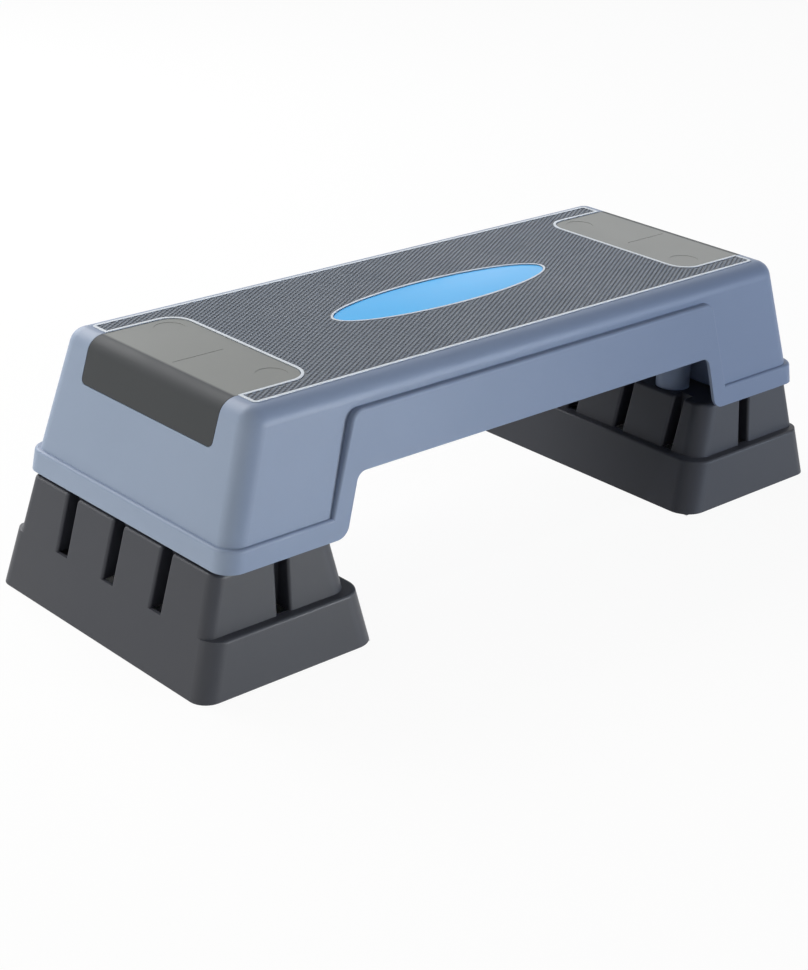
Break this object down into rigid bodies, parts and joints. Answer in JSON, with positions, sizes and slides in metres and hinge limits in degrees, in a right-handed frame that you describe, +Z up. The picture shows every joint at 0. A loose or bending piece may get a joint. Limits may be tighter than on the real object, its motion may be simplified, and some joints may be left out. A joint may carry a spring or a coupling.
{
  "type": "aerobic step platform",
  "caption": "Aerobic step platform: hollow arched deck with a studded tread mat, wrapped end pads and an oval badge, standing on slotted ledged risers with rubber feet.",
  "frame": {"origin": "on the floor, under the middle of the deck", "axes": "+X along the deck's length, +Y from the front long side to the back one, +Z up"},
  "size_m": [0.8398, 0.3222, 0.251],
  "materials": {
    "deck_plastic": "satin moulded grain",
    "mat_rubber": "studded, matte",
    "pad_rubber": "smooth satin",
    "badge_plastic": "satin gloss",
    "riser_plastic": "satin moulded grain",
    "foot_rubber": "matte"
  },
  "bodies": {
    "left_stand": {"left_riser": "riser_plastic", "left_riser_foot_1": "foot_rubber", "left_riser_foot_2": "foot_rubber", "left_riser_foot_3": "foot_rubber", "left_riser_foot_4": "foot_rubber"},
    "deck": {"deck_shell": "deck_plastic", "tread_mat": "mat_rubber", "left_end_pad": "pad_rubber", "right_end_pad": "pad_rubber", "oval_badge": "badge_plastic", "deck_foot_1": "foot_rubber", "deck_foot_2": "foot_rubber", "deck_foot_3": "foot_rubber", "deck_foot_4": "foot_rubber"},
    "right_stand": {"right_riser": "riser_plastic", "right_riser_foot_1": "foot_rubber", "right_riser_foot_2": "foot_rubber", "right_riser_foot_3": "foot_rubber", "right_riser_foot_4": "foot_rubber"}
  },
  "joints": [
    {"name": "deck_lift", "type": "slide", "parent": "left_stand", "child": "deck", "axis": [0, 0, 1], "range_m": [0, 0.12]},
    {"name": "right_stand_drop", "type": "slide", "parent": "deck", "child": "right_stand", "axis": [0, 0, -1], "range_m": [0, 0.12]}
  ],
  "couplings": [
    {"joint": "right_stand_drop", "follows": "deck_lift", "ratio": 1}
  ]
}
